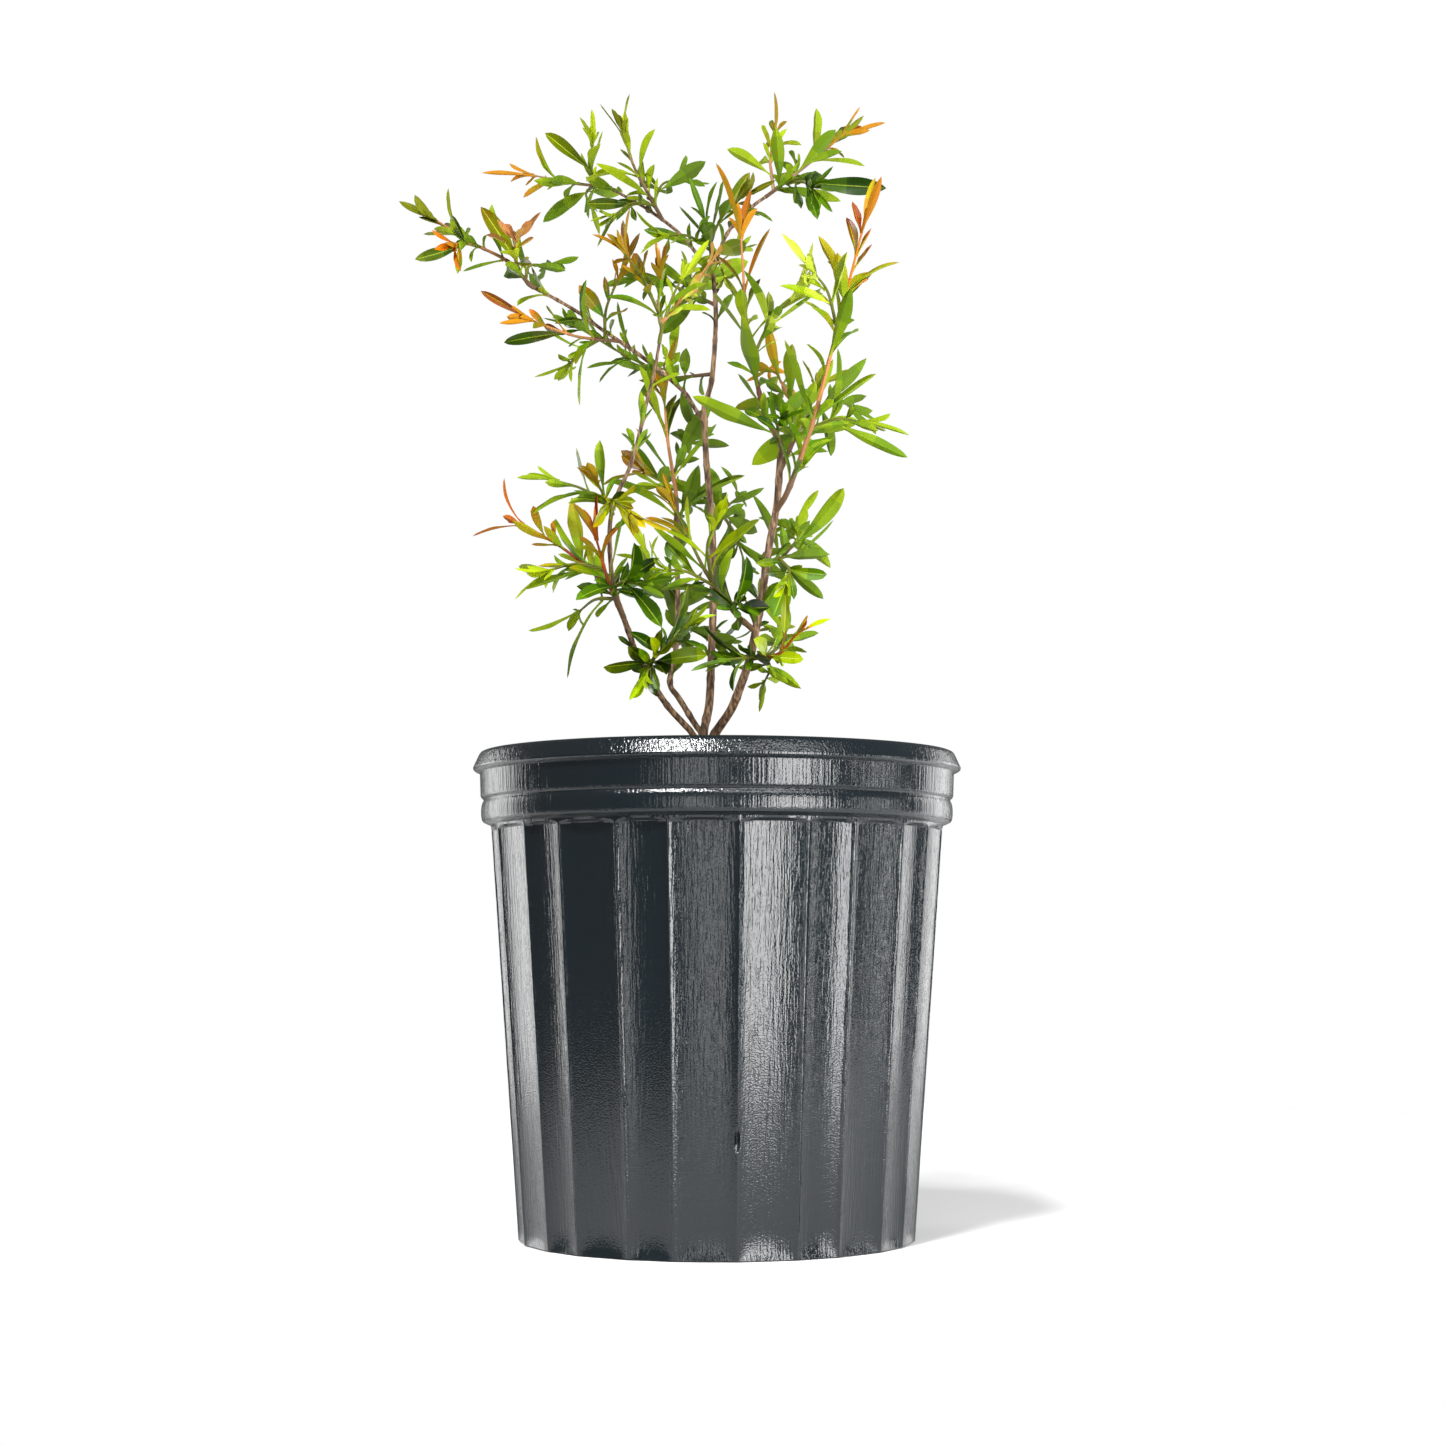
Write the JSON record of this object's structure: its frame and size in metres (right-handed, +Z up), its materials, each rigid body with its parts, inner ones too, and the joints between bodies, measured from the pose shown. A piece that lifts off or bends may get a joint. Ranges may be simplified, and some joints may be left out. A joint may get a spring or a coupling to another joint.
{
  "type": "potted pomegranate tree",
  "caption": "Young pomegranate tree with slender upright stems and narrow glossy leaves, growing in potting mix in a fluted black plastic nursery pot that stands on its flat underside.",
  "frame": {"origin": "centre of the pot's flat underside, on the level surface that it stands on", "axes": "+Z up along the pot's axis, +X to the viewer's right and +Y away from the viewer of the picture"},
  "size_m": [0.3023, 0.2768, 0.6651],
  "materials": {
    "pot": "satin charcoal plastic with fine moulding grain",
    "soil": "damp potting mix",
    "bark": "thin brown bark",
    "foliage": "glossy green leaves with young bronze tips"
  },
  "bodies": {
    "root": {"pot": "pot", "soil": "soil", "trunk": "bark", "left_stem": "bark", "second_stem": "bark", "centre_stem": "bark", "right_stem": "bark", "left_leader": "bark", "centre_leader": "bark", "left_bough": "bark", "upper_left_bough": "bark", "upper_right_bough": "bark", "low_left_foliage": "foliage", "low_back_foliage": "foliage", "left_tuft_foliage": "foliage", "middle_left_foliage": "foliage", "crown_left_foliage": "foliage", "inner_left_foliage": "foliage", "crossing_foliage": "foliage", "far_left_foliage": "foliage", "left_pink_foliage": "foliage", "back_left_foliage": "foliage", "back_high_foliage": "foliage", "upper_left_foliage": "foliage", "upper_middle_foliage": "foliage", "knot_foliage": "foliage", "upper_right_foliage": "foliage", "right_centre_foliage": "foliage", "right_fork_foliage": "foliage", "right_outer_foliage": "foliage", "right_middle_foliage": "foliage", "low_right_foliage": "foliage", "back_middle_foliage": "foliage"}
  },
  "joints": []
}
